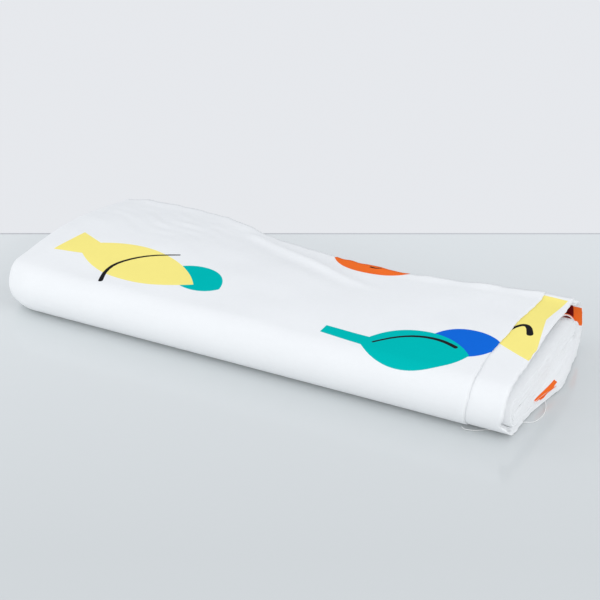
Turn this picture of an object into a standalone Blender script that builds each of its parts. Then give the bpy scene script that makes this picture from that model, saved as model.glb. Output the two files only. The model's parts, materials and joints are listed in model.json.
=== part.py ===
"""A length of printed cotton cloth, folded to a strip and loosely rolled flat.

The strip lies on its side along X: the closed fold of the cloth is the end at -X
and its raw edges are the end at +X. The strip is wound round a core tongue, and
each turn runs over the top, round the front nose, along the bottom and up the
rear bend into the next lane. The last half turn is the top panel, which lies
loose and lifts about the nose. Metres, +Z up, origin under the middle of the box.
"""
import math

import bmesh
import bpy
from mathutils import Vector

# Overall sizes of the rolled bundle.
BUNDLE_LENGTH = 0.385       # closed fold to the ply that sticks out furthest
END_STAGGER = 0.010         # how far the inner plies stick out past the outer turn
FOLD_END_WIDTH = 0.172      # front nose to rear bend at the closed fold
SHOULDER_WIDTH = 0.173
HOLLOW_WIDTH = 0.147
WAIST_WIDTH = 0.132
RAW_END_WIDTH = 0.146
SHOULDER_FROM_FOLD = 0.082  # distances along the bundle from the closed fold
HOLLOW_FROM_FOLD = 0.162
WAIST_FROM_FOLD = 0.247

# Heights of the cross-section.
NOSE_HEIGHT = 0.035         # the same all along, so that the panel has a straight axis
CROWN_HEIGHT_FOLD_END = 0.0435
CROWN_HEIGHT_WAIST = 0.0400
CROWN_HEIGHT_RAW_END = 0.0430
REAR_HEIGHT_FOLD_END = 0.0330
REAR_HEIGHT_WAIST = 0.0370
REAR_HEIGHT_RAW_END = 0.0425

# The cloth.
PLY_THICKNESS = 0.0006      # one ply with its weave and starch
PLY_GAP = 0.0004            # air between the two outer plies
TURN_GAP = 0.0010           # air between one turn and the next
END_GAP = 0.0010            # where one turn stops and the next starts
SHORT_PLY = 0.022           # the upper ply ends this far before the under ply
SECOND_TURN_SHORT = 0.010   # the second turn sits back inside the open end
STACK_CLEARANCE = 0.0015    # slack beside the compact inner turns
HEADROOM_IN_GAPS = 2.4      # air over the inner turns, as so many of the gaps between them
CORE_GAP = 0.0004           # air between the innermost turn and the tongue
TONGUE_SLACK = 0.0079       # room beside the tongue in the innermost turn

# The top panel sweeps round the nose on this clearance.
SWEEP_CLEARANCE = 0.0004
PANEL_SWING = math.radians(150.0)

# Loose yarns.
YARN_DIAMETER = 0.00045

# Where the yarns run: a loop pulled out of the raw end, and a thread off the short ply.
YARN_LOOP_ROUTE = (
    (0.1832, -0.0610, 0.0012), (0.1853, -0.0568, 0.0008), (0.1908, -0.0525, 0.0004),
    (0.1932, -0.0431, 0.0004), (0.1916, -0.0330, 0.0004), (0.1882, -0.0251, 0.0008),
    (0.1840, -0.0203, 0.0014))
EDGE_YARN_ROUTE = (
    (0.1546, -0.0793, 0.0008), (0.1572, -0.0803, 0.0004), (0.1620, -0.0793, 0.0004),
    (0.1662, -0.0768, 0.0004), (0.1702, -0.0742, 0.0004), (0.1750, -0.0724, 0.0004),
    (0.1800, -0.0716, 0.0004), (0.1852, -0.0722, 0.0004))

# Steps of the lofted surfaces.
STEPS_ALONG = 10
STEPS_TOP_LINE = 2
STEPS_CROWN = 2
STEPS_NOSE = 8
STEPS_BOTTOM = 3
STEPS_REAR = 8

TURN_WALL = 2.0 * PLY_THICKNESS + PLY_GAP
PITCH = TURN_WALL + TURN_GAP
NOSE_INSET = TURN_WALL + SWEEP_CLEARANCE
FOLD_END_X = -BUNDLE_LENGTH / 2.0
RAW_END_X = BUNDLE_LENGTH / 2.0 - END_STAGGER
REAR_DRAW = PITCH / 2.0     # the rear bend has drawn in by half a pitch where it is widest
FRONT_Y = -(max(FOLD_END_WIDTH, SHOULDER_WIDTH) + NOSE_INSET - REAR_DRAW) / 2.0
NOSE_RADIUS = NOSE_HEIGHT / 2.0
NOSE_AXIS = Vector((0.0, FRONT_Y + NOSE_RADIUS, NOSE_RADIUS))

# The compact inner turns lie inside the arch, which shares out the air between them.
INNER_TURNS = ("third_turn", "fourth_turn", "fifth_turn", "sixth_turn")
ARCH_HEIGHT = min(
    NOSE_HEIGHT - NOSE_INSET, REAR_HEIGHT_FOLD_END, REAR_HEIGHT_WAIST, REAR_HEIGHT_RAW_END,
    CROWN_HEIGHT_FOLD_END, CROWN_HEIGHT_WAIST, CROWN_HEIGHT_RAW_END) - PITCH - TURN_WALL
STACK_WALLS = 2 * len(INNER_TURNS) + 1
STACK_AIR = ARCH_HEIGHT - 2.0 * PITCH - STACK_WALLS * TURN_WALL - 2.0 * CORE_GAP
STACK_GAP = STACK_AIR / (2 * (len(INNER_TURNS) - 1) + HEADROOM_IN_GAPS)
STACK_PITCH = TURN_WALL + STACK_GAP
STACK_HEIGHT = 2.0 * ((len(INNER_TURNS) - 1) * STACK_PITCH + TURN_WALL + CORE_GAP) + TURN_WALL
STACK_SIDE = 2.0 * PITCH + NOSE_INSET + STACK_CLEARANCE
CORE_ROOM = min(FOLD_END_WIDTH, SHOULDER_WIDTH, HOLLOW_WIDTH, WAIST_WIDTH, RAW_END_WIDTH) - 2.0 * (
    STACK_SIDE + (len(INNER_TURNS) - 1) * STACK_PITCH + TURN_WALL)
TONGUE_WIDTH = CORE_ROOM - 2.0 * TONGUE_SLACK
CLOTH_COLOUR = (0.83, 0.84, 0.85, 1.0)
YARN_COLOUR = (0.88, 0.88, 0.86, 1.0)


def ease(first, last, share):
    """Blend two values with no slope at either end."""
    share = min(max(share, 0.0), 1.0)
    return first + (last - first) * share * share * (3.0 - 2.0 * share)


def along_bundle(x, stations):
    """Read a size at x from (place, size) pairs, eased between neighbours."""
    for (x0, size0), (x1, size1) in zip(stations, stations[1:]):
        if x <= x1:
            return ease(size0, size1, (x - x0) / (x1 - x0))
    return stations[-1][1]


def width_at(x):
    """Front nose to rear bend."""
    return along_bundle(x, (
        (FOLD_END_X, FOLD_END_WIDTH),
        (FOLD_END_X + SHOULDER_FROM_FOLD, SHOULDER_WIDTH),
        (FOLD_END_X + HOLLOW_FROM_FOLD, HOLLOW_WIDTH),
        (FOLD_END_X + WAIST_FROM_FOLD, WAIST_WIDTH),
        (RAW_END_X, RAW_END_WIDTH)))


def crown_height_at(x):
    return along_bundle(x, (
        (FOLD_END_X, CROWN_HEIGHT_FOLD_END),
        (FOLD_END_X + WAIST_FROM_FOLD, CROWN_HEIGHT_WAIST),
        (RAW_END_X, CROWN_HEIGHT_RAW_END)))


def rear_height_at(x):
    return along_bundle(x, (
        (FOLD_END_X, REAR_HEIGHT_FOLD_END),
        (FOLD_END_X + WAIST_FROM_FOLD, REAR_HEIGHT_WAIST),
        (RAW_END_X, REAR_HEIGHT_RAW_END)))


def outer_circles(x):
    """Rear, crown and nose circles of the loose outer turns, as (y, z, radius)."""
    rear = rear_height_at(x) / 2.0
    crown = crown_height_at(x) / 2.0
    rear_y = FRONT_Y + width_at(x) - rear
    nose_y = FRONT_Y + NOSE_RADIUS
    return (
        (rear_y, rear, rear),
        ((rear_y + nose_y) / 2.0, crown, crown),
        (nose_y, NOSE_RADIUS, NOSE_RADIUS))


def stack_circles(x):
    """The same three circles for the compact inner turns."""
    radius = STACK_HEIGHT / 2.0
    height = 2.0 * PITCH + radius
    side = STACK_SIDE + radius
    rear_y = FRONT_Y + width_at(x) - side
    nose_y = FRONT_Y + side
    return (
        (rear_y, height, radius),
        ((rear_y + nose_y) / 2.0, height, radius),
        (nose_y, height, radius))


def lane(number):
    """Circles and depth of a lane: lanes 1 and 2 are loose, 3 and up are compact."""
    if number <= 2:
        return outer_circles, (number - 1) * PITCH
    return stack_circles, (number - 3) * STACK_PITCH


def on_circle(circle, angle, depth):
    y, z, radius = circle
    return Vector((y + (radius - depth) * math.cos(angle), z + (radius - depth) * math.sin(angle)))


def tangent_angle(circle_a, circle_b):
    """Direction of the outward normal of the upper line that touches both circles."""
    step = Vector((circle_b[0] - circle_a[0], circle_b[1] - circle_a[1]))
    heading = math.atan2(step.y, step.x)
    return heading - math.acos((circle_a[2] - circle_b[2]) / step.length)


def section_point(x, number, place, extra_depth, sweeps):
    """A point (y, z) of a lane's cross-section.

    place runs 0 to 1 over the top from rear to front, 1 to 2 round the nose, 2 to 3
    along the bottom and 3 to 4 up the rear bend, which leads into the next lane.
    sweeps is true on the top panel, which keeps the full radius at the nose.
    """
    circles, depth = lane(number)
    rear, crown, nose = circles(x)
    depth += extra_depth
    rear_top = tangent_angle(rear, crown) % math.tau
    nose_top = tangent_angle(crown, nose) % math.tau
    bottom = 1.5 * math.pi
    inset = 0.0 if sweeps or number > 2 else NOSE_INSET
    if place <= 1.0:
        depth += inset * place
        if place <= 0.4:
            share = place / 0.4
            return on_circle(rear, rear_top, depth).lerp(on_circle(crown, rear_top, depth), share)
        if place <= 0.6:
            share = (place - 0.4) / 0.2
            return on_circle(crown, rear_top + (nose_top - rear_top) * share, depth)
        share = (place - 0.6) / 0.4
        return on_circle(crown, nose_top, depth).lerp(on_circle(nose, nose_top, depth), share)
    if place <= 2.0:
        angle = nose_top + (bottom - nose_top) * (place - 1.0)
        swept = nose_top + PANEL_SWING
        depth += ease(inset, 0.0, (angle - swept) / (bottom - swept))
        return on_circle(nose, angle, depth)
    if place <= 3.0:
        start = on_circle(nose, bottom, depth)
        return start.lerp(on_circle(rear, bottom, depth), place - 2.0)
    share = place - 3.0
    next_circles, next_depth = lane(number + 1)
    next_rear, next_crown, _ = next_circles(x)
    next_top = tangent_angle(next_rear, next_crown) % math.tau
    here = on_circle(rear, (rear_top + math.pi / 2.0) * share - math.pi / 2.0, depth)
    there = on_circle(
        next_rear, (next_top + math.pi / 2.0) * share - math.pi / 2.0, next_depth + extra_depth)
    return here.lerp(there, ease(0.0, 1.0, share))


def places(first, last):
    """The grid places between first and last, closer together on the bends."""
    steps = [0.4 * i / STEPS_TOP_LINE for i in range(STEPS_TOP_LINE)]
    steps += [0.4 + 0.2 * i / STEPS_CROWN for i in range(STEPS_CROWN)]
    steps += [0.6 + 0.4 * i / STEPS_TOP_LINE for i in range(STEPS_TOP_LINE)]
    steps += [1.0 + i / STEPS_NOSE for i in range(STEPS_NOSE)]
    steps += [2.0 + i / STEPS_BOTTOM for i in range(STEPS_BOTTOM)]
    steps += [3.0 + i / STEPS_REAR for i in range(STEPS_REAR + 1)]
    return [place for place in steps if first - 1e-9 <= place <= last + 1e-9]


def stops_along(end_x):
    """Places along X, the same on every sheet up to its own end, so that plies lie parallel."""
    short_end = RAW_END_X - SHORT_PLY
    stops = [FOLD_END_X + (short_end - FOLD_END_X) * i / STEPS_ALONG for i in range(STEPS_ALONG + 1)]
    stops += [RAW_END_X - SECOND_TURN_SHORT, RAW_END_X]
    return [x for x in stops if x < end_x - PLY_THICKNESS] + [end_x]


def make_material(name, colour, roughness):
    material = bpy.data.materials.new(name)
    material.use_nodes = True
    shader = material.node_tree.nodes["Principled BSDF"]
    shader.inputs["Base Color"].default_value = colour
    shader.inputs["Roughness"].default_value = roughness
    shader.inputs["Metallic"].default_value = 0.0
    return material


def link_piece(piece, material, collection):
    piece.data.materials.append(material)
    collection.objects.link(piece)


def make_sheet(name, collection, number, span, end_x, thickness, extra_depth=0.0, sweeps=False,
               origin=Vector((0.0, 0.0, 0.0))):
    """Loft one run of cloth from the closed fold to end_x and give it its thickness.

    span is the first and last place on the section. The outer face is lofted, and
    Solidify adds the cloth on its inner side.
    """
    columns = stops_along(end_x)
    stops = places(*span)
    mesh = bpy.data.meshes.new(name)
    shape = bmesh.new()
    bmesh.ops.create_grid(
        shape, x_segments=len(columns) - 1, y_segments=len(stops) - 1, size=0.5)
    for vert in shape.verts:
        x = columns[round((vert.co.x + 0.5) * (len(columns) - 1))]
        place = stops[round((vert.co.y + 0.5) * (len(stops) - 1))]
        point = section_point(x, number, place, extra_depth, sweeps)
        if place == 0.0 and not sweeps:
            ahead = section_point(x, number, stops[1], extra_depth, sweeps)
            point += (ahead - point).normalized() * END_GAP
        vert.co = Vector((x, point.x, point.y)) - origin
    bmesh.ops.reverse_faces(shape, faces=shape.faces)
    shape.to_mesh(mesh)
    shape.free()
    mesh.shade_smooth()
    mesh.set_sharp_from_angle(angle=math.radians(50.0))
    piece = bpy.data.objects.new(name, mesh)
    piece.location = origin
    solidify = piece.modifiers.new("cloth_thickness", "SOLIDIFY")
    solidify.thickness = thickness
    solidify.offset = -1.0
    solidify.use_even_offset = True
    link_piece(piece, make_material(name + "_cotton", CLOTH_COLOUR, 0.85), collection)
    return piece


def make_tongue(collection):
    """The first fold of the strip, which the innermost turn is wound round."""
    radius = STACK_HEIGHT / 2.0
    mesh = bpy.data.meshes.new("core_tongue")
    shape = bmesh.new()
    bmesh.ops.create_cube(shape, size=1.0)
    for vert in shape.verts:
        vert.co.x = FOLD_END_X if vert.co.x < 0.0 else BUNDLE_LENGTH / 2.0
        vert.co.y *= TONGUE_WIDTH
        vert.co.z *= TURN_WALL
    middle = Vector((0.0, FRONT_Y + WAIST_WIDTH / 2.0, 2.0 * PITCH + radius))
    bmesh.ops.translate(shape, verts=shape.verts, vec=middle)
    shape.to_mesh(mesh)
    shape.free()
    piece = bpy.data.objects.new("core_tongue", mesh)
    bevel = piece.modifiers.new("soft_edge", "BEVEL")
    bevel.width = TURN_WALL / 3.0
    bevel.segments = 1
    link_piece(piece, make_material("core_tongue_cotton", CLOTH_COLOUR, 0.85), collection)
    return piece


def smooth_route(route, count):
    """Points of a Catmull-Rom curve through the chosen route points."""
    points = [Vector(p) for p in route]
    padded = [2.0 * points[0] - points[1]] + points + [2.0 * points[-1] - points[-2]]
    spans = len(points) - 1
    result = []
    for i in range(count):
        place = i * spans / (count - 1)
        span = min(int(place), spans - 1)
        t = place - span
        a, b, c, d = padded[span:span + 4]
        result.append(0.5 * (2.0 * b + (c - a) * t + (2.0 * a - 5.0 * b + 4.0 * c - d) * t * t
                             + (3.0 * b - a - 3.0 * c + d) * t * t * t))
    return result


def make_yarn(name, collection, route, count):
    """A loose yarn lying on the table beside the bundle."""
    curve = bpy.data.curves.new(name, "CURVE")
    curve.dimensions = "3D"
    curve.bevel_depth = YARN_DIAMETER / 2.0
    curve.bevel_resolution = 2
    curve.use_fill_caps = True
    spline = curve.splines.new("POLY")
    points = smooth_route(route, count)
    spline.points.add(len(points) - 1)
    for point, place in zip(spline.points, points):
        point.co = (place.x, place.y, place.z, 1.0)
    yarn = bpy.data.objects.new(name, curve)
    link_piece(yarn, make_material(name + "_cotton", YARN_COLOUR, 0.8), collection)
    return yarn


def clear_scene():
    for item in list(bpy.data.objects):
        bpy.data.objects.remove(item, do_unlink=True)


def main():
    clear_scene()
    bundle = bpy.data.collections.new("cloth_bundle")
    bpy.context.scene.collection.children.link(bundle)
    upper_end = RAW_END_X - SHORT_PLY
    under_depth = PLY_THICKNESS + PLY_GAP

    # The top panel turns about the axis of the front nose.
    make_sheet("top_panel_upper_ply", bundle, 1, (0.0, 1.0), upper_end, PLY_THICKNESS,
               sweeps=True, origin=NOSE_AXIS)
    make_sheet("top_panel_under_ply", bundle, 1, (0.0, 1.0), RAW_END_X, PLY_THICKNESS,
               extra_depth=under_depth, sweeps=True, origin=NOSE_AXIS)

    # The same two plies go on round the nose, under the bundle and up the rear bend.
    make_sheet("outer_turn_upper_ply", bundle, 1, (1.0, 4.0), upper_end, PLY_THICKNESS)
    make_sheet("outer_turn_under_ply", bundle, 1, (1.0, 4.0), RAW_END_X, PLY_THICKNESS,
               extra_depth=under_depth)

    make_sheet("second_turn", bundle, 2, (0.0, 4.0), RAW_END_X - SECOND_TURN_SHORT, TURN_WALL)
    for step, name in enumerate(INNER_TURNS):
        end_x = RAW_END_X + END_STAGGER * step / len(INNER_TURNS)
        last_place = 3.0 if name == INNER_TURNS[-1] else 4.0
        make_sheet(name, bundle, step + 3, (0.0, last_place), end_x, TURN_WALL)
    make_tongue(bundle)

    make_yarn("loose_yarn_loop", bundle, YARN_LOOP_ROUTE, 56)
    make_yarn("edge_yarn", bundle, EDGE_YARN_ROUTE, 40)


main()
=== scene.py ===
import json
import math

import bpy
import numpy as np
from mathutils import Matrix, Vector


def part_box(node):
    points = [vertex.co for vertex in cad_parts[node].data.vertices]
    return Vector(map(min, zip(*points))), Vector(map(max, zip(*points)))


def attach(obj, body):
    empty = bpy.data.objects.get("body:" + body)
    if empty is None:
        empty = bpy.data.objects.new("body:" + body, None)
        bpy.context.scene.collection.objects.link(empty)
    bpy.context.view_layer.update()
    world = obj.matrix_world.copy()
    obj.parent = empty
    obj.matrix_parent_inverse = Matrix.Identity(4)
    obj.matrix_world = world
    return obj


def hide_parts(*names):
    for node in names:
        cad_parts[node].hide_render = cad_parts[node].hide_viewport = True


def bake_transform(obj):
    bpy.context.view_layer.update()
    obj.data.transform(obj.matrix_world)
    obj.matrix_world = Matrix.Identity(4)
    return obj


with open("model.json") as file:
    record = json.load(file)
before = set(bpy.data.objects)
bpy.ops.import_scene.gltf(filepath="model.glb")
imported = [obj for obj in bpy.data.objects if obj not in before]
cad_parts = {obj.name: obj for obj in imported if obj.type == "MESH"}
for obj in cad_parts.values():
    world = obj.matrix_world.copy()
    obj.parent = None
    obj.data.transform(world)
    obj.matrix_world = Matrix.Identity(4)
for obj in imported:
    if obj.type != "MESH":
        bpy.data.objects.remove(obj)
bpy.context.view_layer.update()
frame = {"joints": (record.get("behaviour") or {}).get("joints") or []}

bl_info = {
    "name": "Folded Printed Cloth Bundle",
    "version": (1, 0, 0),
    "blender": (4, 5, 0),
    "location": "View3D > Sidebar > Cloth Bundle",
    "description": "Models a length of printed cotton, folded to a strip and loosely rolled flat",
    "category": "Object",
}

# ---------------------------------------------------------------------------
# The bundle's outline. Lanes are the turns of the roll: a lane runs over the top
# (place 0 to 1), round the front nose (1 to 2), along the bottom (2 to 3) and up
# the rear bend (3 to 4) into the next lane. Lanes 1 and 2 are loose, 3 to 6 are
# the compact stack inside. Distances are in metres in the frame's own axes.
# ---------------------------------------------------------------------------
FOLD_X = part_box("outer_turn_under_ply")[0].x
RAW_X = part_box("outer_turn_under_ply")[1].x
TONGUE_LOW, TONGUE_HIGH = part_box("core_tongue")
HINGE = Vector(frame["joints"][0]["pos_m"])
NOSE_RADIUS = HINGE.z
FRONT_Y = HINGE.y - NOSE_RADIUS
TURN_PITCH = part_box("second_turn")[0].z
STACK_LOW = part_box("third_turn")[0].z
STACK_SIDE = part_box("third_turn")[0].y - FRONT_Y

# Stations along the bundle, from the closed fold: distance, width, crown and rear heights.
STATIONS = (
    (0.000, 0.1720, 0.0435, 0.0310),
    (0.082, 0.1730, 0.0430, 0.0310),
    (0.162, 0.1490, 0.0410, 0.0330),
    (0.247, 0.1340, 0.0405, 0.0385),
    (0.375, 0.1460, 0.0430, 0.0430),
)
STACK_FRONT_HEIGHT = 0.0166
STACK_REAR_HEIGHT = 0.0208
STACK_LANE_SHARE = 0.236     # each lane of the stack takes this share of its radius
STACK_CROWN_SHARE = 0.65     # how far back the stack's crown lies, from nose to rear
LAST_LANE = 6
PLACES_IN_LANE = 4.0
PLIES_IN_TURN = 4.0
PLY_PITCH = 0.00064          # from one ply to the next, of the four in a loose turn
PLIES = {"outer": (0.0, 3.0), "inner": (1.0, 2.0)}   # where both legs of a folded pair lie
FOLD_BULGE = {"outer": 0.0030, "inner": 0.0008}
FOLD_SET_BACK = {"outer": 0.0, "inner": 0.0016}
LANE_SET_BACK = 0.0007       # each turn's fold sits a little further in than the last
FOLD_WANDER = 0.0006         # how far the closed fold wanders along the roll
FOLD_ROWS = 9                # rows of points round the closed fold

# The raw end. The upper ply's edge wanders: (distance round the roll, x).
SHORT_EDGE = (
    (-0.030, 0.1580), (-0.002, 0.1583), (0.014, 0.1600), (0.027, 0.1598), (0.049, 0.1582),
    (0.062, 0.1594), (0.074, 0.1612), (0.092, 0.1616), (0.108, 0.1621), (0.129, 0.1637),
    (0.150, 0.1645))
LOW_END_X = 0.1850           # the lowest plies slid out furthest, most in the middle
LOW_END_BULGE = 0.0068
LOW_END_HALF = 0.030
LOW_END_Z = 0.0068           # the plies below this height are the lowest ones
LOW_END_BLEND = 0.0012
ARCH_IN = 0.0100             # the second turn's raw edge lies this far inside the first's
REAR_OUT = 0.0010            # and both come out this much again up the rear bend
NOTCH_DEPTH = 0.0030         # a fold in the raw edge under the nose
NOTCH_PLACE, NOTCH_WIDTH = 1.60, 0.05
UNDER_PLACE, UNDER_WIDTH = 1.55, 0.25         # from here the raw edge runs out to the lowest plies
STACK_MIDDLE_X, STACK_TOP_X = 0.1850, 0.1822  # the stack's end leans in from its middle to its top
STACK_MIDDLE_Z, STACK_LEAN_HEIGHT = 0.008, 0.018
STACK_REAR_SIDE = 0.0058     # the stack lies against the rear wall
STACK_UNEVENNESS = 0.00025
FOLD_FRONT_IN = 0.0040       # the closed fold sits this much further in at the front
FRONT_PLACE, FRONT_WIDTH = 1.6, 0.55
NOSE_CORNER = 0.0055         # the front corner of the closed fold is rounded off by this
DEPTH_CORNER = 0.0020        # and the turns lie this much deeper there
CORNER_LENGTH = 0.024
ARCH_HANDLE = 0.40           # how full the arch over the top is, as a share of its span

# Where each sheet ends along the roll, in places, counted from the rear edge of the top.
PANEL_LAST = 2.12            # just under the front of the bundle
WRAP_LAST = 8.0
STACK_LAST = 23.0
PART_LENGTHS = (0.104, 0.052, 0.104, 0.058)   # top, nose, bottom and rear of the outer lane
LANE_SHRINK = 0.20           # each lane of the stack has bends this much shorter
BEND_STEP, STACK_BEND_STEP = 0.9, 0.45        # columns stand closer together round the bends
PLACE_RUN = 0.05             # metres of wave pattern to one place
FREE_EDGE_LAST = 0.075       # the panel's free edge is curled up as far as this place
PLAN_FOLD_X = FOLD_X - 0.001                  # the print's plan opens out flat about this line


def smooth(share):
    """An even rise from 0 to 1 that starts and ends level."""
    share = np.clip(share, 0.0, 1.0)
    return share * share * (3.0 - 2.0 * share)


def mix(a, b, t):
    return a + (b - a) * t


def hump(value, middle, width):
    """A bell of height 1 round middle."""
    return np.exp(-((value - middle) / width) ** 2)


def along(x, column):
    """A station size at x, on a cubic that has the neighbours' mean slope at each station."""
    at = np.array([s[0] for s in STATIONS]) + FOLD_X
    size = np.array([s[column] for s in STATIONS])
    slope = np.gradient(size, at)
    slope[0] = slope[-1] = 0.0
    x = np.clip(x, at[0], at[-1])
    i = np.clip(np.searchsorted(at, x) - 1, 0, len(at) - 2)
    gap = at[i + 1] - at[i]
    t = (x - at[i]) / gap
    return (
        (2 * t ** 3 - 3 * t ** 2 + 1) * size[i] + (t ** 3 - 2 * t ** 2 + t) * gap * slope[i]
        + (3 * t ** 2 - 2 * t ** 3) * size[i + 1] + (t ** 3 - t ** 2) * gap * slope[i + 1])


def lane_circles(lane, x):
    """Rear, crown and nose circles of a lane as (y, z, radius), and its ply pitch at rear and nose."""
    width = along(x, 1)
    corner = 1.0 - smooth((x - FOLD_X) / CORNER_LENGTH)
    if lane <= 2:
        depth = (lane - 1) * TURN_PITCH + DEPTH_CORNER * corner ** 2 / lane
        rear = along(x, 3) / 2.0
        crown = along(x, 2) / 2.0
        nose = np.full_like(x, NOSE_RADIUS)
        rear_y = FRONT_Y + width - rear
        nose_y = FRONT_Y + nose + NOSE_CORNER * corner / lane
        circles = ((rear_y, rear, rear - depth),
                   (0.5 * (rear_y + nose_y), crown, crown - depth),
                   (nose_y, nose, nose - depth))
        return circles, (PLY_PITCH, PLY_PITCH)
    share = 1.0 - STACK_LANE_SHARE * (lane - 3)
    rear = np.full_like(x, STACK_REAR_HEIGHT / 2.0)
    nose = np.full_like(x, STACK_FRONT_HEIGHT / 2.0)
    rear_y = FRONT_Y + width - STACK_REAR_SIDE - rear
    nose_y = FRONT_Y + STACK_SIDE + nose
    middle = 0.5 * (rear + nose)
    circles = ((rear_y, STACK_LOW + rear, rear * share),
               (mix(nose_y, rear_y, STACK_CROWN_SHARE), STACK_LOW + middle, middle * share),
               (nose_y, STACK_LOW + nose, nose * share))
    return circles, (rear * STACK_LANE_SHARE / PLIES_IN_TURN, nose * STACK_LANE_SHARE / PLIES_IN_TURN)


def touch(circle_a, circle_b):
    """Direction of the outward normal of the upper line that touches both circles."""
    heading = np.arctan2(circle_b[1] - circle_a[1], circle_b[0] - circle_a[0])
    length = np.hypot(circle_b[1] - circle_a[1], circle_b[0] - circle_a[0])
    return np.mod(heading - np.arccos((circle_a[2] - circle_b[2]) / length), math.tau)


def on_circle(circle, angle, depth):
    """The point (y, z) at an angle, depth inside the circle."""
    reach = circle[2] - depth
    return circle[0] + reach * np.cos(angle), circle[1] + reach * np.sin(angle)


def lane_section(lane, x, place, ply):
    """Points (y, z) of one lane for arrays of x, place and ply (0 outermost to 3 innermost)."""
    (rear, crown, nose), (rear_pitch, nose_pitch) = lane_circles(lane, x)
    rear_depth, nose_depth = ply * rear_pitch, ply * nose_pitch
    rear_top = touch(rear, crown)
    nose_top = touch(crown, nose)
    bottom, bottom_from_rear = 1.5 * math.pi, -0.5 * math.pi

    # Over the top: one soft arch from the rear bend to the nose.
    t = np.clip(place, 0.0, 1.0)
    y0, z0 = on_circle(rear, rear_top, rear_depth)
    y3, z3 = on_circle(nose, nose_top, nose_depth)
    handle = ARCH_HANDLE * np.hypot(y3 - y0, z3 - z0)
    y1, z1 = y0 - handle * np.sin(rear_top), z0 + handle * np.cos(rear_top)
    y2, z2 = y3 + handle * np.sin(nose_top), z3 - handle * np.cos(nose_top)
    weights = ((1 - t) ** 3, 3 * t * (1 - t) ** 2, 3 * t * t * (1 - t), t ** 3)
    top_y = weights[0] * y0 + weights[1] * y1 + weights[2] * y2 + weights[3] * y3
    top_z = weights[0] * z0 + weights[1] * z1 + weights[2] * z2 + weights[3] * z3

    # Round the nose, and along the bottom.
    nose_y, nose_z = on_circle(
        nose, mix(nose_top, bottom, np.clip(place - 1.0, 0.0, 1.0)), nose_depth)
    y4, z4 = on_circle(nose, bottom, nose_depth)
    y5, z5 = on_circle(rear, bottom, rear_depth)
    t = np.clip(place - 2.0, 0.0, 1.0)
    bottom_y, bottom_z = mix(y4, y5, t), mix(z4, z5, t)

    # Up the rear bend, drawing in to the next lane.
    t = np.clip(place - 3.0, 0.0, 1.0)
    (next_rear, next_crown, _), (next_pitch, _) = lane_circles(lane + 1, x)
    next_top = touch(next_rear, next_crown)
    here_y, here_z = on_circle(rear, mix(bottom_from_rear, rear_top, t), rear_depth)
    there_y, there_z = on_circle(next_rear, mix(bottom_from_rear, next_top, t), ply * next_pitch)
    rear_y, rear_z = mix(here_y, there_y, smooth(t)), mix(here_z, there_z, smooth(t))

    where = [place <= 1.0, place <= 2.0, place <= 3.0]
    return (np.select(where, [top_y, nose_y, bottom_y], rear_y),
            np.select(where, [top_z, nose_z, bottom_z], rear_z))


def waves(x, y, seed, length, count=7):
    """Smooth unevenness: a few long sine waves in fixed, seeded directions, from -1 to 1."""
    dice = np.random.default_rng(seed)
    total = np.zeros_like(x)
    for _ in range(count):
        angle, phase = dice.uniform(0.0, math.pi), dice.uniform(0.0, math.tau)
        wave = length * dice.uniform(0.7, 1.6)
        total += np.sin(math.tau / wave * (x * math.cos(angle) + y * math.sin(angle)) + phase)
    return total / count


# The crease that the loose top panel makes, from the rear edge to the middle of the top.
CREASE = ((-0.075, 0.054), (-0.031, 0.033), (0.000, 0.019), (0.035, 0.004), (0.072, -0.006))
CREASE_WIDTH = 0.0036
CREASE_WOBBLE, CREASE_WAVES = 0.15, 95.0      # share of its height, and turns of the wave per metre
VALLEY_WIDTH = 0.0060
VALLEY_FRONT, VALLEY_FRONT_SHARE = 0.0085, 0.45
VALLEY_BEHIND, VALLEY_BEHIND_SHARE = 0.0090, 0.35
WRINKLE_MIDDLE, WRINKLE_REACH = (-0.125, 0.034), (0.042, 0.026)
WRINKLE_SPACING = 0.0125
WRINKLE_ALONG, WRINKLE_ACROSS = 0.95, 0.30    # the way they run: mostly along the bundle
UNEVEN_FROM, UNEVEN_RISE = 0.022, 0.012       # heights between which the cloth grows uneven


def crease_lift(x, y, height):
    """A soft ridge along the crease with a shallow valley on each side."""
    points = np.array(CREASE)
    best = np.full_like(x, 1.0)
    side = np.zeros_like(x)
    run = np.zeros_like(x)
    length = 0.0
    for (ax, ay), (bx, by) in zip(points, points[1:]):
        dx, dy = bx - ax, by - ay
        span = math.hypot(dx, dy)
        t = np.clip(((x - ax) * dx + (y - ay) * dy) / span ** 2, 0.0, 1.0)
        away = np.hypot(x - ax - t * dx, y - ay - t * dy)
        nearer = away < best
        best = np.where(nearer, away, best)
        side = np.where(nearer, ((x - ax) * dy - (y - ay) * dx) / span, side)
        run = np.where(nearer, length + t * span, run)
        length += span
    share = run / length
    fade = smooth(share / 0.15) * (1.0 - smooth((share - 0.55) / 0.45))
    ridge = hump(best, 0.0, CREASE_WIDTH) * (1.0 + CREASE_WOBBLE * np.sin(run * CREASE_WAVES))
    front = hump(side, VALLEY_FRONT, VALLEY_WIDTH) * VALLEY_FRONT_SHARE
    behind = hump(side, -VALLEY_BEHIND, VALLEY_WIDTH) * VALLEY_BEHIND_SHARE
    return height * fade * (ridge - front - behind)


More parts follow.
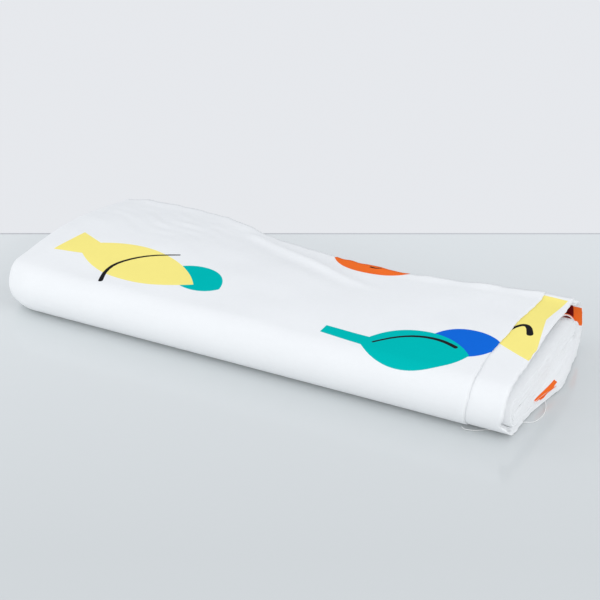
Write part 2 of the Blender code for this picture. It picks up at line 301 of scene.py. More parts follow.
def rear_wrinkles(x, y, height):
    """Short parallel creases in the rear corner near the closed fold."""
    envelope = (hump(x, WRINKLE_MIDDLE[0], WRINKLE_REACH[0])
                * hump(y, WRINKLE_MIDDLE[1], WRINKLE_REACH[1]))
    across = WRINKLE_ACROSS * x + WRINKLE_ALONG * y
    lengthways = WRINKLE_ALONG * x - WRINKLE_ACROSS * y
    # They bend a little, and break up along their length.
    bend = 0.004 * np.sin(lengthways * 90.0 + 0.6)
    streaks = np.sin((across + bend) * math.tau / WRINKLE_SPACING)
    broken = 0.55 + 0.45 * np.sin(lengthways * 150.0 + across * 260.0)
    return height * envelope * broken * np.sign(streaks) * np.abs(streaks) ** 0.7


def surface_unevenness(x, y, z, lane, sizes):
    """How far the cloth lies off its smooth outline, up or down, for lanes 1 and 2."""
    lift = sizes.sag_depth * waves(x, y, seed=3, length=0.075)
    lift += 0.35 * sizes.sag_depth * waves(x, y, seed=8, length=0.030)
    folds = crease_lift(x, y, sizes.crease_height) + rear_wrinkles(x, y, sizes.wrinkle_height)
    lift += folds if lane == 1 else np.minimum(folds, 0.0)
    return lift * smooth((z - UNEVEN_FROM) / UNEVEN_RISE)


# ---------------------------------------------------------------------------
# Helpers
# ---------------------------------------------------------------------------


def settings():
    """The bundle's sizes, its colours and its stage."""
    scene = bpy.context.scene
    return scene.bundle_sizes, scene.print_colours, scene.bundle_stage


def deselect_all():
    if bpy.context.object and bpy.context.object.mode != "OBJECT":
        bpy.ops.object.mode_set(mode="OBJECT")
    bpy.ops.object.select_all(action="DESELECT")


def only(piece):
    """Select one piece and nothing else."""
    deselect_all()
    piece.select_set(True)
    bpy.context.view_layer.objects.active = piece


def apply_modifiers(piece):
    only(piece)
    for modifier in list(piece.modifiers):
        bpy.ops.object.modifier_apply(modifier=modifier.name)


# ---------------------------------------------------------------------------
# Materials
# ---------------------------------------------------------------------------


def node(tree, kind, **options):
    """Add a shader node and set its options."""
    made = tree.nodes.new(kind)
    for name, value in options.items():
        setattr(made, name, value)
    return made


def feed(tree, socket, value):
    """Link another node's output to a socket, or set it to a plain value."""
    if hasattr(value, "is_linked"):
        tree.links.new(value, socket)
    else:
        socket.default_value = value


def math_node(tree, operation, *values, clamp=False):
    """A calculation with numbers or with other nodes' outputs."""
    made = node(tree, "ShaderNodeMath", operation=operation, use_clamp=clamp)
    for socket, value in zip(made.inputs, values):
        feed(tree, socket, value)
    return made.outputs[0]


def mix_colour(tree, factor, first, second, blend_type="MIX"):
    """Blend two colours: factor 0 gives the first alone."""
    made = node(tree, "ShaderNodeMix", data_type="RGBA", blend_type=blend_type)
    for index, value in ((0, factor), (6, first), (7, second)):
        feed(tree, made.inputs[index], value)
    return made.outputs[2]


def bumped(tree, shader, height, strength, distance):
    """Give a shader's surface a small relief."""
    bump = node(tree, "ShaderNodeBump")
    bump.inputs["Strength"].default_value = strength
    bump.inputs["Distance"].default_value = distance
    tree.links.new(height, bump.inputs["Height"])
    tree.links.new(bump.outputs[0], shader.inputs["Normal"])


def new_material(name):
    material = bpy.data.materials.new(name)
    material.use_nodes = True
    tree = material.node_tree
    return material, tree, tree.nodes["Principled BSDF"]


def noise_value(tree, vector, scale, detail):
    made = node(tree, "ShaderNodeTexNoise")
    made.inputs["Scale"].default_value = scale
    made.inputs["Detail"].default_value = detail
    made.inputs["Roughness"].default_value = 0.55
    tree.links.new(vector, made.inputs["Vector"])
    return made.outputs["Fac"]


def weave_height(tree, plan, pitch):
    """Plain weave: warp and weft humps that go over and under each other."""
    split = node(tree, "ShaderNodeSeparateXYZ")
    tree.links.new(plan, split.inputs[0])
    turns = math.pi / pitch
    thread_height = 1.2      # lifts each hump clear of the crossing pattern
    wobble = math_node(tree, "MULTIPLY", noise_value(tree, plan, 700.0, 1.0), 0.9)
    across = math_node(tree, "ADD", math_node(tree, "MULTIPLY", split.outputs[0], turns), wobble)
    lengthways = math_node(tree, "ADD", math_node(tree, "MULTIPLY", split.outputs[1], turns), wobble)
    crossing = math_node(tree, "MULTIPLY", math_node(tree, "COSINE", across),
                         math_node(tree, "COSINE", lengthways))
    warp = math_node(tree, "MULTIPLY", math_node(tree, "ABSOLUTE", math_node(tree, "SINE", across)),
                     math_node(tree, "ADD", crossing, thread_height))
    weft = math_node(tree, "MULTIPLY", math_node(tree, "ABSOLUTE", math_node(tree, "SINE", lengthways)),
                     math_node(tree, "SUBTRACT", thread_height, crossing))
    return math_node(tree, "MAXIMUM", warp, weft)


INK_EDGE_HALF = 0.12         # half the width of an ink's soft edge, in millimetres
REVERSE_INK = 0.40           # how much of the print shows through on the reverse


class Printer:
    """Draws flat shapes with nodes, each as the distance to its edge in millimetres.

    The plan has x along the bundle and s round the roll. Distances are negative inside.
    """

    EDGE_WANDER = 0.30       # how far the ink creeps along the threads

    def __init__(self, tree, plan):
        self.tree = tree
        self.inks = []
        wander = node(tree, "ShaderNodeTexNoise")
        wander.inputs["Scale"].default_value = 1.4
        wander.inputs["Detail"].default_value = 2.0
        millimetres = self.vector("SCALE", plan, scale=1000.0)
        tree.links.new(millimetres, wander.inputs["Vector"])
        centred = self.vector("SUBTRACT", wander.outputs["Color"], (0.5, 0.5, 0.5))
        self.spot = self.vector("MULTIPLY_ADD", centred, (self.EDGE_WANDER, self.EDGE_WANDER, 0.0),
                                millimetres)

    def vector(self, operation, *values, scale=None):
        made = node(self.tree, "ShaderNodeVectorMath", operation=operation)
        for socket, value in zip(made.inputs, values):
            feed(self.tree, socket, value)
        if scale is not None:
            feed(self.tree, made.inputs["Scale"], scale)
        single = operation in ("DOT_PRODUCT", "DISTANCE")
        return made.outputs["Value" if single else "Vector"]

    def number(self, operation, *values, clamp=False):
        return math_node(self.tree, operation, *values, clamp=clamp)

    def union(self, *shapes):
        """Everything in any of the shapes."""
        total = shapes[0]
        for shape in shapes[1:]:
            total = self.number("MINIMUM", total, shape)
        return total

    def common(self, *shapes):
        """What all the shapes share."""
        total = shapes[0]
        for shape in shapes[1:]:
            total = self.number("MAXIMUM", total, shape)
        return total

    def disc(self, centre, radius):
        return self.number("SUBTRACT", self.vector("DISTANCE", self.spot, (*centre, 0.0)), radius)

    def side(self, start, end):
        """Everything on the left of the line from start to end."""
        heading = (Vector(end) - Vector(start)).normalized()
        outward = Vector((heading.y, -heading.x))
        return self.number("SUBTRACT", self.vector("DOT_PRODUCT", self.spot, (*outward, 0.0)),
                           outward.dot(Vector(start)))

    def cut_piece(self, *corners):
        """A piece with straight sides. Its corners run anticlockwise and all point outwards."""
        return self.common(*[self.side(a, b) for a, b in zip(corners, corners[1:] + corners[:1])])

    def block(self, low, high):
        """An upright rectangle from its low corner to its high one."""
        return self.cut_piece(low, (high[0], low[1]), high, (low[0], high[1]))

    def lens(self, start, end, half_width):
        """The overlap of two equal discs, with its tips at start and end."""
        start, end = Vector(start), Vector(end)
        half = (end - start).length / 2.0
        radius = (half ** 2 + half_width ** 2) / (2.0 * half_width)
        normal = (end - start).orthogonal().normalized() * (radius - half_width)
        middle = (start + end) / 2.0
        return self.common(self.disc(middle + normal, radius), self.disc(middle - normal, radius))

    def stroke(self, route, first, last):
        """A brush stroke along a smooth route, whose half width runs from first to last."""
        points = smooth_route([(*spot, 0.0) for spot in route], 2 * len(route) - 1)
        parts = []
        for i, (start, end) in enumerate(zip(points, points[1:])):
            step = end - start
            here = self.vector("SUBTRACT", self.spot, start)
            share = self.number("MULTIPLY", self.vector("DOT_PRODUCT", here, step),
                                1.0 / step.length_squared, clamp=True)
            reached = self.vector("SCALE", step, scale=share)
            away = self.vector("DISTANCE", here, reached)
            width = mix(first, last, i / (len(points) - 1))
            change = (last - first) / (len(points) - 1)
            here_width = self.number("MULTIPLY_ADD", share, change, width)
            parts.append(self.number("SUBTRACT", away, here_width))
        return self.union(*parts)

    def ink(self, name, shape):
        """Lay an ink over what is printed so far."""
        self.inks.append((name, shape))


def bent_line(start, bend, end, count=7):
    """Points on a smooth curve from start to end, drawn towards bend."""
    points = []
    for step in range(count):
        t = step / (count - 1)
        points.append(tuple(a * (1 - t) ** 2 + 2 * b * t * (1 - t) + c * t ** 2
                            for a, b, c in zip(start, bend, end)))
    return tuple(points)


def plain_fish(printer, tail_tip, root, nose, plump, tail_half, root_half):
    """A lens from root to nose for the body, and a straight-cut tail from tail_tip into it."""
    tip, start = Vector(tail_tip), Vector(root)
    inside = mix(start, Vector(nose), 0.15)
    ahead = (inside - tip).normalized()
    aside = Vector((-ahead.y, ahead.x))
    tail = printer.cut_piece(tip - aside * tail_half, inside - aside * root_half,
                             inside + aside * root_half, tip + aside * tail_half)
    return printer.union(printer.lens(root, nose, plump), tail)


def yellow_fish(printer):
    """A long plain fish with a teal leaf behind its head and one curved stroke."""
    printer.ink("teal", printer.lens((-78, 64), (-35, 50), 15))
    printer.ink("yellow", plain_fish(printer, (-170, 66), (-160, 65), (-54, 48), 22, 16, 8))
    printer.ink("black", printer.stroke(bent_line((-115, 27), (-132, 58), (-85, 80)), 1.7, 0.75))


def teal_fish(printer):
    """A plump plain fish with a long thin tail, a blue leaf and a stroke along its back."""
    printer.ink("blue", printer.lens((116, 46), (162, 61), 15))
    printer.ink("teal", plain_fish(printer, (52, 34), (80, 29), (148, 42), 20, 4, 5))
    printer.ink("black", printer.stroke(bent_line((88, 32), (112, 58), (137, 47)), 0.75, 1.4))


def orange_fish(printer):
    """The belly of a fish that lies over the rear bend, with a small stroke on its side."""
    printer.ink("orange", printer.lens((9, 136), (76, 130), 16))
    printer.ink("black", printer.stroke(bent_line((41, 126), (45, 124), (49, 126), 3), 0.7, 0.4))


def band_fish(printer):
    """The head end of a yellow fish on the ply below, with a hooked stroke for its gill."""
    printer.ink("yellow", printer.union(
        printer.cut_piece((140, 70), (186, 48), (176, 100), (140, 100)),
        printer.cut_piece((140, 98), (176, 98), (180, 130), (140, 130))))
    printer.ink("black", printer.stroke(bent_line((158, 72), (166, 98), (173, 78)), 0.7, 2.2))


def hidden_fish(printer, x, s, length, ink, leaf_ink):
    """A fish on a stretch that shows only when the panel is lifted."""
    def spot(forward, aside):
        return x + forward * length / 2.0, s + aside * length / 2.0

    printer.ink(leaf_ink, printer.lens(spot(-0.1, 0.15), spot(0.9, 0.75), 0.10 * length))
    printer.ink(ink, printer.union(
        printer.lens(spot(-1.0, 0.0), spot(1.0, 0.1), 0.21 * length),
        printer.cut_piece(spot(-1.3, -0.3), spot(-0.8, -0.08), spot(-0.8, 0.08), spot(-1.3, 0.3))))
    printer.ink("black", printer.stroke((spot(-0.4, 0.25), spot(0.0, 0.15), spot(0.5, 0.2)), 1.4, 0.8))


def panel_print(printer):
    """The fish of the upper ply: three that show, and two on the leg below."""
    yellow_fish(printer)
    teal_fish(printer)
    orange_fish(printer)
    hidden_fish(printer, -300, 60, 90, "blue", "orange")
    hidden_fish(printer, -470, 75, 100, "teal", "yellow")


def turn_print(printer):
    """Fish under the panel, the orange pieces that show at the raw end, and two dark red pieces of painted
    shade where the inside of the raw end lies in shade.
    """
    hidden_fish(printer, -90, 215, 85, "orange", "yellow")
    hidden_fish(printer, 60, 230, 95, "blue", "teal")
    printer.ink("orange", printer.cut_piece((-590, 120), (-540, 116), (-540, 134), (-590, 132.5)))
    printer.ink("orange", printer.block((140, 444), (190, 462)))
    printer.ink("orange", printer.block((-575.5, 337), (-565, 350)))
    # Painted shade: two dark red pieces where the inside of the raw end lies in shade; the first darkens
    # the deeper part of the orange piece above.
    printer.ink("painted_shade_red", printer.block((-565, 116), (-540, 134)))
    printer.ink("painted_shade_red", printer.block((-575, 430), (-540, 452)))


def stack_print(printer):
    """The end of an orange motif on the lower plies that stick out."""
    printer.ink("orange", printer.cut_piece((-577.5, 165), (-567, 165), (-571.5, 198), (-577.5, 194)))
    printer.ink("orange", printer.block((186.5, 168), (191, 196)))


def inked(tree, colour, printer, ink_strength):
    """Lay every ink of a printer over a colour, with an edge a quarter of a millimetre soft."""
    _, colours, _ = settings()
    for ink, distance in printer.inks:
        cover = node(tree, "ShaderNodeMapRange", clamp=True)
        tree.links.new(distance, cover.inputs["Value"])
        cover.inputs["From Min"].default_value = INK_EDGE_HALF
        cover.inputs["From Max"].default_value = -INK_EDGE_HALF
        cover.inputs["To Max"].default_value = ink_strength
        colour = mix_colour(tree, cover.outputs[0], colour, (*getattr(colours, ink), 1.0))
    return colour


def cotton_material(name, draw, ink_strength):
    """White plain-woven cotton. ink_strength is 1 on the printed face and less on its reverse."""
    sizes, colours, _ = settings()
    material, tree, shader = new_material(name)
    plan = node(tree, "ShaderNodeUVMap", uv_map="cloth_plan").outputs[0]
    weave = weave_height(tree, plan, sizes.thread_pitch)
    slub = noise_value(tree, plan, 260.0, 2.0)
    cloudy = noise_value(tree, plan, 22.0, 3.0)
    shade = 0.925
    for pattern, strength in ((cloudy, 0.035), (weave, 0.030), (slub, 0.02)):
        shade = math_node(tree, "ADD", math_node(tree, "MULTIPLY", pattern, strength), shade)
    colour = node(tree, "ShaderNodeRGB").outputs[0]
    colour.default_value = (*colours.cotton, 1.0)
    if draw is not None:
        printer = Printer(tree, plan)
        draw(printer)
        colour = inked(tree, colour, printer, ink_strength)
    grey = node(tree, "ShaderNodeCombineColor")
    for socket in grey.inputs:
        tree.links.new(shade, socket)
    colour = mix_colour(tree, 1.0, colour, grey.outputs[0], "MULTIPLY")
    tree.links.new(colour, shader.inputs["Base Color"])
    height = math_node(tree, "ADD", math_node(tree, "MULTIPLY", weave, 0.6),
                       math_node(tree, "MULTIPLY", slub, 0.8))
    bumped(tree, shader, height, 0.35, 0.00012)
    shader.inputs["Roughness"].default_value = 0.9
    shader.inputs["Specular IOR Level"].default_value = 0.0
    return material


def yarn_material():
    """Loose spun cotton, whiter than the woven cloth."""
    material, tree, shader = new_material("spun_cotton_yarn")
    place = node(tree, "ShaderNodeTexCoord").outputs["Object"]
    fuzz = noise_value(tree, place, 2500.0, 3.0)
    colour = mix_colour(tree, fuzz, (0.90, 0.90, 0.89, 1.0), (0.97, 0.97, 0.96, 1.0))
    tree.links.new(colour, shader.inputs["Base Color"])
    bumped(tree, shader, fuzz, 0.5, 0.00008)
    shader.inputs["Roughness"].default_value = 0.85
    shader.inputs["Sheen Weight"].default_value = 0.2
    return material


# Painted light on the floor: its colour runs darker near the camera and paler far off, in place of the
# light falling off towards the camera and the backdrop's reflection far off.
FLOOR_PAINTED_LIGHT_SPAN = (-0.27, 0.15)               # metres from the origin, towards the camera and away
FLOOR_PAINTED_LIGHT = (0.92, 1.13)                    # painted light: how much darker it is near, and paler far off


def stage_material(name, colour, roughness, specular, forward=Vector((0.0, 1.0, 0.0))):
    """A plain surface with painted light: its colour grows a little paler with distance along `forward`.
    """
    material, tree, shader = new_material(name)
    place = node(tree, "ShaderNodeTexCoord").outputs["Object"]
    depth = node(tree, "ShaderNodeVectorMath", operation="DOT_PRODUCT")
    tree.links.new(place, depth.inputs[0])
    depth.inputs[1].default_value = forward
    painted_light_share = node(tree, "ShaderNodeMapRange")
    near, far = FLOOR_PAINTED_LIGHT_SPAN
    painted_light_share.inputs["From Min"].default_value = near
    painted_light_share.inputs["From Max"].default_value = far
    tree.links.new(depth.outputs["Value"], painted_light_share.inputs["Value"])
    # Painted light: the floor's colour, darker near and paler far off.
    darker, paler = (tuple(c * tone for c in colour) + (1.0,) for tone in FLOOR_PAINTED_LIGHT)
    tone = mix_colour(tree, painted_light_share.outputs[0], darker, paler)
    tree.links.new(tone, shader.inputs["Base Color"])
    shader.inputs["Roughness"].default_value = roughness
    shader.inputs["Specular IOR Level"].default_value = specular
    return material


# ---------------------------------------------------------------------------
# Cloth sheets
# ---------------------------------------------------------------------------


def spaced(fine, coarse, change):
    """Shares from 0 to 1, closer together before change."""
    stops = list(np.linspace(0.0, change, max(2, int(change / fine) + 1)))
    if change < 1.0:
        stops += list(np.linspace(change, 1.0, max(2, int((1.0 - change) / coarse) + 1)))[1:]
    return stops


def leg_rows(fine, coarse, change):
    """Rows from the raw end, round the closed fold and back: (leg, share of the way along it).

    fine and coarse are the row spacings; the near leg is fine down to change.
    """
    near = [("near", t) for t in spaced(fine, coarse, change)]
    fold = [("fold", t) for t in np.linspace(0.0, 1.0, FOLD_ROWS)[1:-1]]
    far = [("far", t) for t in spaced(coarse, coarse, 1.0)[::-1]]
    return near + fold + far


def raw_end(pair, leg, lane, place, y, z, s):
    """Where a ply's raw edge lies: the turns slid apart, the lowest ones furthest."""
    low = LOW_END_X + LOW_END_BULGE * hump(y, 0.0, LOW_END_HALF)
    if lane >= 3:
        lean = np.clip((z - STACK_MIDDLE_Z) / STACK_LEAN_HEIGHT, 0.0, 1.0)
        stack = mix(STACK_MIDDLE_X, STACK_TOP_X, lean)
        return mix(low, stack, smooth((z - LOW_END_Z) / LOW_END_BLEND))
    if lane == 1 and pair == "outer" and leg == "near":
        return np.interp(s, *zip(*SHORT_EDGE))
    top = RAW_X if lane == 1 else RAW_X - ARCH_IN
    notch = NOTCH_DEPTH * hump(place, NOTCH_PLACE, NOTCH_WIDTH) if lane == 1 else 0.0
    up_rear = smooth(place - 3.0)
    under = smooth((place - UNDER_PLACE) / UNDER_WIDTH) * (1.0 - up_rear)
    return mix(top + REAR_OUT * up_rear, low, under) - notch


def leg_ends(pair, lanes, local, places, seed, waviness):
    """The x of the raw edge of both legs of a folded pair, column by column."""
    ends = {}
    for leg, ply in zip(("near", "far"), PLIES[pair]):
        y, z = np.zeros(len(places)), np.zeros(len(places))
        for lane in sorted(set(lanes)):
            here = lanes == lane
            edge_x = np.full(here.sum(), RAW_X)
            y[here], z[here] = lane_section(lane, edge_x, local[here], np.full(here.sum(), ply))
        s = plan_run(y[None, :], z[None, :], places)[0]
        ragged = waviness * (waves(s, s * 0.0, seed + int(ply), 0.034, 5)
                             + 0.5 * waves(s, s * 0.0, seed + 5 + int(ply), 0.007, 4))
        ends[leg] = ragged + np.array([
            raw_end(pair, leg, *values) for values in zip(lanes, local, y, z, s)])
    return ends


def sheet_points(pair, places, rows, seed, waviness):
    """The x, y and z of a folded pair of plies: rows lie along the bundle, columns round the roll."""
    sizes, _, _ = settings()
    lanes = np.minimum(1 + np.floor(places / PLACES_IN_LANE + 1e-9).astype(int), LAST_LANE)
    local = places - PLACES_IN_LANE * (lanes - 1)
    ends = leg_ends(pair, lanes, local, places, seed, waviness)
    set_back = (FOLD_SET_BACK[pair] + LANE_SET_BACK * places / PLACES_IN_LANE
                + FOLD_FRONT_IN * hump(local, FRONT_PLACE, FRONT_WIDTH)
                + FOLD_WANDER * waves(places * PLACE_RUN, places * 0.0, seed + 2, 0.05, 4))
    fold_at = FOLD_X + FOLD_BULGE[pair] + set_back

    near_ply, far_ply = PLIES[pair]
    grid_x = np.zeros((len(rows), len(places)))
    grid_ply = np.zeros_like(grid_x)
    for i, (leg, t) in enumerate(rows):
        if leg == "fold":
            grid_x[i] = fold_at - FOLD_BULGE[pair] * math.sin(math.pi * t)
            grid_ply[i] = mix(near_ply, far_ply, 0.5 - 0.5 * math.cos(math.pi * t))
        else:
            grid_x[i] = mix(ends[leg], fold_at, t)
            grid_ply[i] = near_ply if leg == "near" else far_ply

    grid_y, grid_z = np.zeros_like(grid_x), np.zeros_like(grid_x)
    for lane in sorted(set(lanes)):
        here = lanes == lane
        x = grid_x[:, here]
        place = np.broadcast_to(local[here], x.shape)
        y, z = lane_section(lane, x, place, grid_ply[:, here])
        if lane <= 2:
            z = z + surface_unevenness(x, y, z, lane, sizes)
        else:
            z = z + STACK_UNEVENNESS * waves(x, places[here] * PLACE_RUN + y * 0.0, 21, 0.060)
        grid_y[:, here], grid_z[:, here] = y, z
    if places[0] == 0.0:
        # The panel's own free edge: ragged, and curled up a little.
        near_edge = 1.0 - smooth(places / FREE_EDGE_LAST)
        curl = 0.7 + 0.6 * waves(grid_x, grid_x * 0.0, 31, 0.024)
        grid_z += sizes.free_edge_curl * near_edge * curl
        grid_y += near_edge * sizes.edge_waviness * 1.6 * waves(grid_x, grid_x * 0.0, 33, 0.016)
    return grid_x, grid_y, grid_z


def make_sheet(name, pair, span, step, rows, draw, thickness, seed, ragged_by=1.0):
    """One folded pair of plies along the roll, over a span of places (four to a lane).

    step is the distance between columns; ragged_by scales how far the raw edges wander.
    """
    sizes, _, _ = settings()
    places = np.array(route_places(*span, step))
    grid = sheet_points(pair, places, rows, seed, sizes.edge_waviness * ragged_by)
    plan_x = grid[0].copy()
    turn_row = sum(leg == "near" for leg, _ in rows)
    plan_x[turn_row:] = 2.0 * PLAN_FOLD_X - plan_x[turn_row:]
    plan = (plan_x, plan_run(grid[1], grid[2], places))

    deselect_all()
    bpy.ops.mesh.primitive_grid_add(x_subdivisions=len(rows) - 1,
                                    y_subdivisions=len(places) - 1, size=1.0)
    piece = bpy.context.object
    piece.name = name
    mesh = piece.data
    mesh.name = name
    raw = np.empty(len(mesh.vertices) * 3)
    mesh.vertices.foreach_get("co", raw)
    raw = raw.reshape(-1, 3)
    row = np.rint((raw[:, 0] + 0.5) * (len(rows) - 1)).astype(int)
    column = np.rint((raw[:, 1] + 0.5) * (len(places) - 1)).astype(int)
    mesh.vertices.foreach_set("co", np.stack(grid, axis=2)[row, column].ravel())
    cover_in_cotton(piece, name, np.stack(plan, axis=2)[row, column], draw)
    thicken(piece, thickness)
    return piece


def cover_in_cotton(piece, label, plan, draw):
    """Give a surface its cloth plan, and cotton for the face and for the reverse."""
    mesh = piece.data
    while mesh.uv_layers:
        mesh.uv_layers.remove(mesh.uv_layers[0])
    layer = mesh.uv_layers.new(name="cloth_plan")
    corner_vertex = np.empty(len(mesh.loops), dtype=np.int32)
    mesh.loops.foreach_get("vertex_index", corner_vertex)
    layer.data.foreach_set("uv", plan[corner_vertex].ravel().astype(np.float32))
    mesh.materials.clear()
    mesh.materials.append(cotton_material(label + "_face", draw, 1.0))
    mesh.materials.append(cotton_material(label + "_reverse", draw, REVERSE_INK))
    mesh.update()


def thicken(piece, thickness):
    """Turn a surface into a ply with the printed face outside and its reverse inside."""
    solidify = piece.modifiers.new("ply", "SOLIDIFY")
    solidify.thickness = thickness
    solidify.offset = -1.0
    solidify.material_offset = 1
    solidify.material_offset_rim = 0
    apply_modifiers(piece)
    bpy.ops.object.shade_smooth()


def plan_run(y, z, places):
    """Distance round the roll: from the front of the nose back over the top, or from the first place."""
    run = np.zeros_like(y)
    run[:, 1:] = np.cumsum(np.hypot(np.diff(y, axis=1), np.diff(z, axis=1)), axis=1)
    if places[0] > 0.0:
        return run
    front = int(np.argmin(np.abs(places - 1.5)))
    return run[:, front:front + 1] - run


def route_places(first, last, step):
    """Places along the roll so that neighbouring columns are about one step apart."""
    places = [first]
    while places[-1] < last - 1e-6:
        current = places[-1]
        lane = int(current / PLACES_IN_LANE + 1e-9)
        part = int(current - PLACES_IN_LANE * lane + 1e-9)
        shrink = 1.0 if lane < 2 else 1.0 - LANE_SHRINK * (lane - 1)
        length = PART_LENGTHS[part] * (shrink if part in (1, 3) else 1.0)
        local_step = step
        if part in (1, 3):
            local_step *= BEND_STEP if lane < 2 else STACK_BEND_STEP
        nearest = PLACES_IN_LANE * lane + part + 1.0
        places.append(min(current + local_step / length, nearest, last))
    return places


def finish_piece(piece, slot_name, *replaced):
    """Hide the parts of the part that a piece stands for. The piece and slot_name are not used."""
    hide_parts(*replaced)


# ---------------------------------------------------------------------------
# Settings
# ---------------------------------------------------------------------------


def metres(name, description, default):
    return bpy.props.FloatProperty(name=name, description=description, default=default, min=0.0,
                                   precision=5, subtype="DISTANCE", unit="LENGTH")


def colour(name, description, default):
    return bpy.props.FloatVectorProperty(name=name, description=description, default=default,
                                         size=3, min=0.0, max=1.0, subtype="COLOR")


class BundleSizes(bpy.types.PropertyGroup):
    ply_thickness: metres("Ply thickness", "Thickness of one ply of the cotton", 0.00034)
    packed_thickness: metres("Packed ply thickness", "Thickness of a ply in the inner turns", 0.00044)
    thread_pitch: metres("Thread pitch", "Distance between neighbouring threads", 0.00040)
    sag_depth: metres("Sag depth", "How far the loose top rises and sinks", 0.0011)
    crease_height: metres("Crease height", "Height of the long soft crease on the top", 0.0024)
    wrinkle_height: metres("Wrinkle height", "Height of the short wrinkles by the closed fold", 0.0007)
    edge_waviness: metres("Edge waviness", "How far raw edges wander", 0.0009)
    free_edge_curl: metres("Free edge curl", "How far the top panel's free edge curls up", 0.0016)
    yarn_diameter: metres("Yarn diameter", "Diameter of the loose yarns", 0.00045)


class PrintColours(bpy.types.PropertyGroup):
    cotton: colour("Cotton", "Colour of the unprinted cloth", (0.86, 0.875, 0.885))
    yellow: colour("Yellow", "Yellow ink", (0.96, 0.84, 0.245))
    teal: colour("Teal", "Teal ink", (0.001, 0.485, 0.465))
    blue: colour("Blue", "Blue ink", (0.008, 0.14, 0.68))
    orange: colour("Orange", "Orange ink", (0.90, 0.165, 0.028))
    # Painted shade: this dark red stands in for shade inside the raw end. It is not an ink of the print.
    painted_shade_red: colour("Painted_shade", "Dark red ink", (0.17, 0.010, 0.010))
    black: colour("Black", "Black brush ink", (0.018, 0.018, 0.020))


class BundleStage(bpy.types.PropertyGroup):
    lens: bpy.props.FloatProperty(name="Lens", description="Focal length of the camera in millimetres",
                                  default=83.6, min=10.0)
    distance: metres("Camera distance", "From the lens to the point it looks at", 1.0)
    azimuth: bpy.props.FloatProperty(name="Azimuth", description="Turn of the camera round the bundle",
                                     default=math.radians(28.37), subtype="ANGLE", unit="ROTATION")
    elevation: bpy.props.FloatProperty(name="Elevation", description="Height of the camera as an angle",
                                       default=math.radians(25.96), subtype="ANGLE", unit="ROTATION")
    floor: colour("Floor", "Colour of the pale floor", (0.67, 0.70, 0.705))
    seam: colour("Floor seam", "Colour of the joint behind the floor", (0.50, 0.51, 0.53))
    backdrop: colour("Backdrop", "Colour behind the floor", (0.795, 0.812, 0.845))
    ambience: bpy.props.FloatProperty(name="Ambience", description="Strength of the light from all round",
                                      default=1.0, min=0.0)
    key_power: bpy.props.FloatProperty(name="Key power", description="Power of the front softbox",
                                       default=7.8, min=0.0, unit="POWER")
    left_power: bpy.props.FloatProperty(name="Left power", description="Power of the softbox on the left",
                                        default=1.0, min=0.0, unit="POWER")
    side_power: bpy.props.FloatProperty(name="Side power", description="Power of the softbox on the right",
                                        default=5.9, min=0.0, unit="POWER")


# ---------------------------------------------------------------------------
# Operators
# ---------------------------------------------------------------------------


